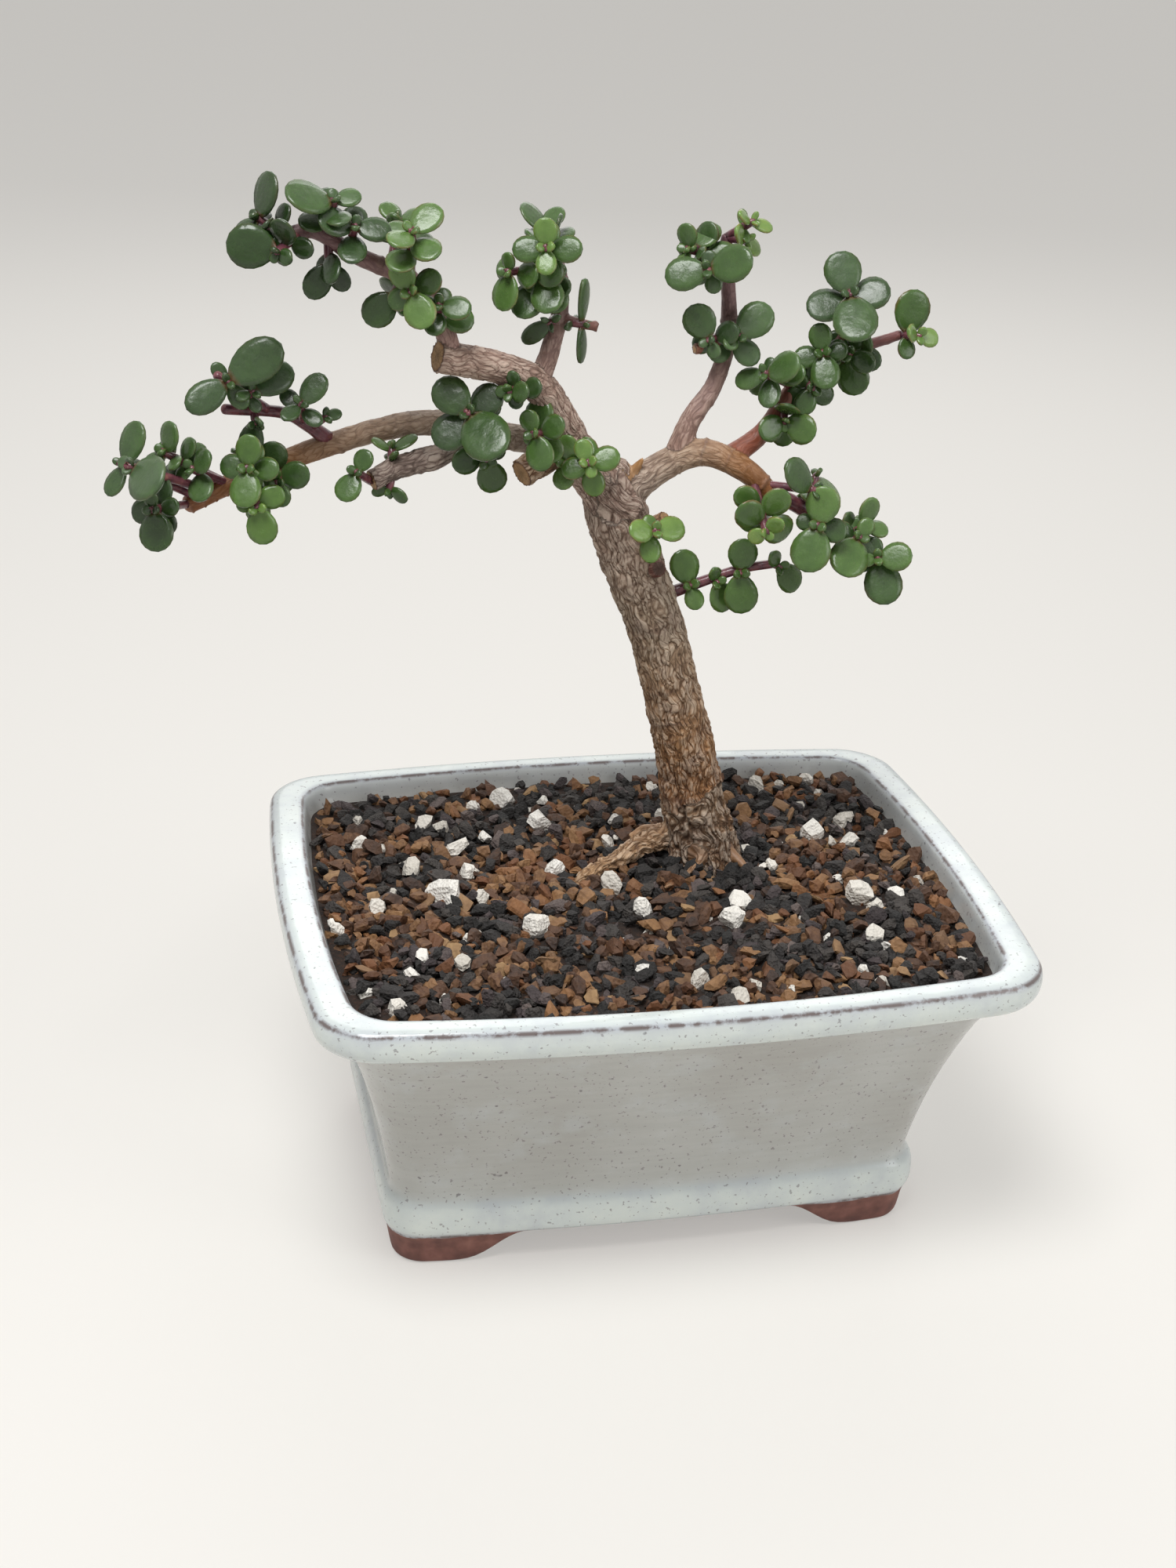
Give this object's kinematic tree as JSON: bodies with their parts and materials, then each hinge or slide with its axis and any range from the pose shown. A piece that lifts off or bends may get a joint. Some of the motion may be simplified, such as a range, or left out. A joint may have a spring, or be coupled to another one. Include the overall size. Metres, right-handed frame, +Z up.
{
  "type": "bonsai plant in a pot",
  "caption": "Leaning dwarf jade bonsai with fleshy round leaves in opposite pairs, planted in gritty mix in a footed rectangular glazed ceramic pot with a rolled lip.",
  "frame": {"origin": "centre of the whole plant's bounding box on the plane the pot's feet stand on", "axes": "+Z up; X along the pot's long side, with the tree leaning towards -X; -Y is the front"},
  "size_m": [0.252, 0.1682, 0.298],
  "materials": {
    "pot": "glossy",
    "soil": "matte",
    "trunk": "rough",
    "screen": "satin",
    "clip": "satin",
    "leaf": "satin"
  },
  "bodies": {
    "root": {"centre_lower": "leaf", "centre_right": "leaf", "centre_rosette": "leaf", "centre_upper": "leaf", "drain_screen_left": "screen", "drain_screen_right": "screen", "fork_lower": "leaf", "fork_rosette": "leaf", "left_middle_back": "leaf", "left_middle_front": "leaf", "left_middle_hanging": "leaf", "left_middle_inner": "leaf", "left_stub_end": "leaf", "left_stub_lower": "leaf", "left_stub_upper": "leaf", "left_tip_end": "leaf", "left_tip_front": "leaf", "left_tip_lower": "leaf", "left_tip_upper": "leaf", "left_twig": "leaf", "low_right_rosette": "leaf", "low_right_twig": "leaf", "low_right_upper": "leaf", "pot": "pot", "right_crown": "leaf", "right_left_side": "leaf", "right_low": "leaf", "right_middle": "leaf", "right_root": "leaf", "right_tip": "leaf", "right_top_end": "leaf", "right_top_left": "leaf", "right_top_low_left": "leaf", "right_top_low_right": "leaf", "right_top_pair": "leaf", "right_under": "leaf", "screen_clip_left": "clip", "screen_clip_right": "clip", "soil": "soil", "top_back": "leaf", "top_drooping": "leaf", "top_lower": "leaf", "top_middle": "leaf", "top_rosette": "leaf", "top_side": "leaf", "trunk": "trunk", "trunk_rosette": "leaf", "trunk_side_shoot": "leaf", "upper_left_back": "leaf", "upper_left_crown": "leaf", "upper_left_face": "leaf", "upper_left_front": "leaf", "upper_left_inner": "leaf", "upper_left_low": "leaf", "upper_left_outer": "leaf", "upper_left_root": "leaf", "upper_left_tip": "leaf", "upper_left_under": "leaf"}
  },
  "joints": []
}
